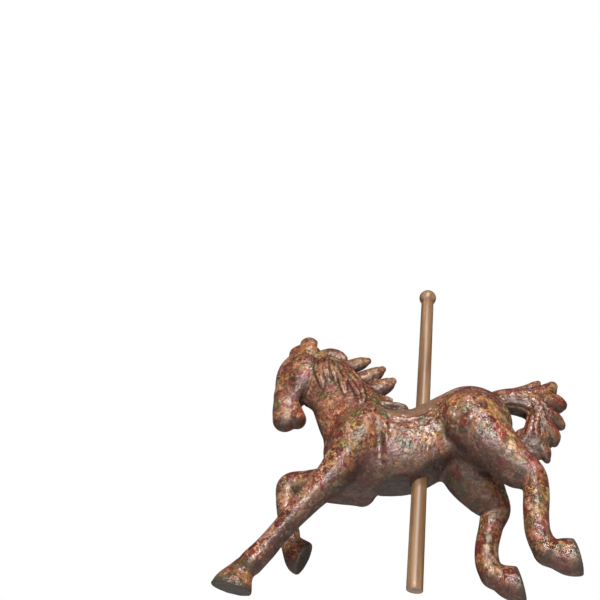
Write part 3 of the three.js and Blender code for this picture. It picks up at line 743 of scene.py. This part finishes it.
# from the paper up to the painted shade in the hollows, the creases and on the underside
tints = [
    (overMid, mid["Color"]),
    (overSmall, small["Color"]),
    (edges, pasted["umber"]),
    (spread(tree, stain, 0.5, 0.68, 0.0, 0.7), pasted["umber"]),
    (spread(tree, flecks, 0.55, 0.68, 0.0, 0.5), pasted["cream"]),
    (spread(tree, flecks, 0.48, 0.36, 0.0, 0.8), pasted["umber"]),
    (times(tree, on["seat"], 0.8), pasted["seat"]),
    (times(tree, on["sole"], 0.85), pasted["sole"]),
    # painted shade in the hollows
    (spread(tree, on["hollow"], 0.3, 0.85, 0.0, 0.92), pasted["shadeBrown"]),
    (times(tree, on["hair"], 0.36), pasted["umber"]),
    # pale crests on the hair, partly wear and partly painted highlight
    (times(tree, rubbedAndHighlit, 0.6), pasted["cream"]),
    # painted shade in the creases
    (times(tree, on["creaseShade"], 0.8), pasted["shadeBrown"]),
    # painted shade on the underside
    (times(tree, on["under"], 0.75), pasted["shadeBrown"]),
]
color = wide["Color"]
for factor, tint in tints:
    color = mixColor(tree, factor, color, tint)
tree.links.new(color, surface.inputs["Base Color"])
strokes = mixValue(tree, overMid, wide["Strokes"], mid["Strokes"])
height = plus(tree, times(tree, wide["Height"], 0.1), times(tree, mid["Height"], 0.12),
              times(tree, strokes, 0.1), skin["Height"])
tree.links.new(bump(tree, height, pasted["reliefDepth"], pasted["relief"]), surface.inputs["Normal"])
dull = times(tree, on["under"], pasted["dullUnder"])
rough = calc(tree, "ADD", spread(tree, skin["Patches"], 0.0, 1.0, *pasted["roughness"]), dull, clamp=True)
tree.links.new(rough, surface.inputs["Roughness"])
surface.inputs["Specular IOR Level"].default_value = pasted["shine"]
mesh.materials.append(collage)
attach(horse, "root")
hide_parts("horse")
print("collage ready")

# pole: a profile turned round its axis, in millimetres
pole = {
    "radius": 14.0, "bevel": 1.2, "ball": 19.5, "neck": 12.0, "groove": 2.5,
    "top": figure["poleBelow"] + 28.4 * share + 343.0,
    "sides": 96, "ballSteps": 48, "shaftSteps": 60,
}
ballMiddle = pole["top"] - pole["ball"]
neckAngle = math.asin(pole["neck"] / pole["ball"])
ballFoot = ballMiddle - pole["ball"] * math.cos(neckAngle)
shaftTop = ballFoot - 2 * pole["groove"]
# heights and radii, from the foot up
profile = [(0.0, pole["radius"] - pole["bevel"]), (0.35, pole["radius"] - 0.45)]
for index in range(pole["shaftSteps"]):
    height = pole["bevel"] + (shaftTop - pole["bevel"]) * index / pole["shaftSteps"]
    profile.append((height, pole["radius"]))
profile += [
    (shaftTop, pole["radius"]),
    (ballFoot - 1.9 * pole["groove"], pole["radius"] - 0.06),
    (ballFoot - 1.5 * pole["groove"], pole["radius"] - 0.7),
    (ballFoot - pole["groove"], pole["neck"]),
    (ballFoot - 0.02, pole["neck"]),
]
for index in range(pole["ballSteps"]):
    angle = neckAngle + (math.pi - 0.01 - neckAngle) * index / (pole["ballSteps"] - 1)
    profile.append((ballMiddle - pole["ball"] * math.cos(angle), pole["ball"] * math.sin(angle)))
poleMesh = bpy.data.meshes.new("poleProfile")
spine = [(0, 0, z / 1000) for z, _ in profile]
poleMesh.from_pydata(spine, [(k, k + 1) for k in range(len(spine) - 1)], [])
radii = [radius / 1000 for _, radius in profile]
poleMesh.attributes.new("turned", "FLOAT", "POINT").data.foreach_set("value", radii)
poleObject = bpy.data.objects.new("turned_pole", poleMesh)
scene.collection.objects.link(poleObject)

# turned wood, its grain drawn out along the pole
wood = {"pale": linear(139, 109, 79), "deep": linear(107, 79, 53), "streak": linear(81, 57, 39)}
poleWood, tree, surface, place = newMaterial("pole_wood")
along = addNode(tree, "ShaderNodeMapping", {"Vector": place, "Scale": (1.0, 1.0, 0.05)}).outputs[0]
fibre = noise(tree, along, 420.0, 5.0, 0.6)["Fac"]
cloud = noise(tree, along, 90.0, 3.0)["Fac"]
color = mixColor(tree, spread(tree, cloud, 0.35, 0.65), wood["pale"], wood["deep"])
color = mixColor(tree, spread(tree, fibre, 0.52, 0.72, 0.0, 0.5), color, wood["streak"])
tree.links.new(color, surface.inputs["Base Color"])
tree.links.new(bump(tree, fibre, 0.0004, 0.35), surface.inputs["Normal"])
surface.inputs["Roughness"].default_value = 0.42
surface.inputs["Coat Weight"].default_value = 0.25
surface.inputs["Coat Roughness"].default_value = 0.3

lathe, given, result = newGroup(
    "turnedProfile",
    [("Geometry", "NodeSocketGeometry", None), ("Sides", "NodeSocketInt", 96),
     ("Material", "NodeSocketMaterial", None)],
    [("Geometry", "NodeSocketGeometry")],
    "GeometryNodeTree",
)
radius = addNode(lathe, "GeometryNodeInputNamedAttribute", {"Name": "turned"}, data_type="FLOAT").outputs[0]
line = addNode(lathe, "GeometryNodeMeshToCurve", {"Mesh": given["Geometry"]}).outputs[0]
line = addNode(lathe, "GeometryNodeSetCurveRadius", {"Curve": line, "Radius": radius}).outputs[0]
circle = {"Resolution": given["Sides"], "Radius": 1.0}
ring = addNode(lathe, "GeometryNodeCurvePrimitiveCircle", circle).outputs[0]
swept = addNode(lathe, "GeometryNodeCurveToMesh", {"Curve": line, "Profile Curve": ring, "Fill Caps": True})
if "Scale" in swept.inputs:
    lathe.links.new(radius, swept.inputs["Scale"])
smooth = addNode(lathe, "GeometryNodeSetShadeSmooth", {"Geometry": swept.outputs[0]}).outputs[0]
real = addNode(lathe, "GeometryNodeRealizeInstances", {"Geometry": smooth}).outputs[0]
finish = {"Geometry": real, "Material": given["Material"]}
lathe.links.new(addNode(lathe, "GeometryNodeSetMaterial", finish).outputs[0], result["Geometry"])


def convert(item, group, values):
    # run the node group once and keep what it makes
    modifier = item.modifiers.new("build", "NODES")
    modifier.node_group = group
    for socket in group.interface.items_tree:
        if socket.in_out == "INPUT" and socket.name in values:
            modifier[socket.identifier] = values[socket.name]
    bpy.context.view_layer.update()
    made = bpy.data.meshes.new_from_object(item.evaluated_get(bpy.context.evaluated_depsgraph_get()))
    item.modifiers.remove(modifier)
    item.data = made


convert(poleObject, lathe, {"Sides": pole["sides"], "Material": poleWood})
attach(poleObject, "root")
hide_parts("pole")
print("pole", len(poleObject.data.polygons), "faces")

# studio
studio = {
    "floor": -0.62,
    "width": 12.0,
    "pale": (0.82, 0.82, 0.82, 1.0),
    # each light's place, aim, size, watts and colour
    "key_light": ((0.3, -2.9, 2.1), (0.0, 0.0, 0.3), (1.1, 0.7), 82.0, (1.0, 0.95, 0.95)),
    "front_light": ((0.0, -3.1, 0.45), (0.0, 0.0, 0.25), (1.2, 0.6), 96.0, (1.0, 0.96, 0.94)),
    "back_light": ((1.0, 3.0, 1.5), (0.0, 0.0, 0.3), (1.4, 1.0), 92.0, (1.0, 0.97, 0.95)),
    "around": (0.86, 0.83, 0.82, 1),
    "aroundStrength": 0.11,
}
half = studio["width"] / 2
floorMesh = bpy.data.meshes.new("floor")
corners = [(x * half, y * half, studio["floor"]) for x, y in ((-1, -1), (1, -1), (1, 1), (-1, 1))]
floorMesh.from_pydata(corners, [], [(0, 1, 2, 3)])
floor = bpy.data.objects.new("floor", floorMesh)
scene.collection.objects.link(floor)
floorLook, tree, surface, place = newMaterial("floor_pale")
surface.inputs["Base Color"].default_value = studio["pale"]
surface.inputs["Roughness"].default_value = 0.8
floorMesh.materials.append(floorLook)


def addLight(name):
    place, aim, size, power, color = studio[name]
    light = bpy.data.lights.new(name, "AREA")
    light.shape = "RECTANGLE"
    light.size, light.size_y = size
    light.energy = power
    light.color = color
    item = bpy.data.objects.new(name, light)
    item.location = place
    item.rotation_euler = (Vector(aim) - Vector(place)).to_track_quat("-Z", "Y").to_euler()
    scene.collection.objects.link(item)
    return item


lights = [addLight(name) for name in ("key_light", "front_light", "back_light")]
# the back light fills the far side without a glint of its own
lights[-1].visible_glossy = False
scene.view_settings.view_transform = "Standard"
# the camera sees white all round, while the object is lit by a dim warm grey
world = bpy.data.worlds.new("studio")
scene.world = world
world.use_nodes = True
tree = world.node_tree
shown = tree.nodes["Background"]
shown.inputs["Color"].default_value = (1, 1, 1, 1)
dim = {"Color": studio["around"], "Strength": studio["aroundStrength"]}
around = addNode(tree, "ShaderNodeBackground", dim)
seen = addNode(tree, "ShaderNodeLightPath").outputs["Is Camera Ray"]
both = addNode(tree, "ShaderNodeMixShader", {0: seen, 1: around.outputs[0], 2: shown.outputs[0]})
tree.links.new(both.outputs[0], tree.nodes["World Output"].inputs["Surface"])
print("studio ready")

# camera at the photo's own place
view = {
    "place": (0.07221, -1.06663, -0.36758),
    "right": (0.96779, 0.18259, 0.17333),
    "above": (0.00288, -0.69645, 0.71760),
    "ahead": (-0.25174, 0.69399, 0.67454),
    "sensor": 36.0,
    "lens": 36.66,
}
camera = bpy.data.objects.new("camera", bpy.data.cameras.new("camera"))
scene.collection.objects.link(camera)
scene.camera = camera
camera.data.sensor_width = view["sensor"]
camera.data.lens = view["lens"]
camera.data.clip_start = 0.01
turn = Matrix((view["right"], view["above"], [-part for part in view["ahead"]])).transposed().to_4x4()
camera.matrix_world = Matrix.Translation(view["place"]) @ turn
bpy.context.view_layer.update()
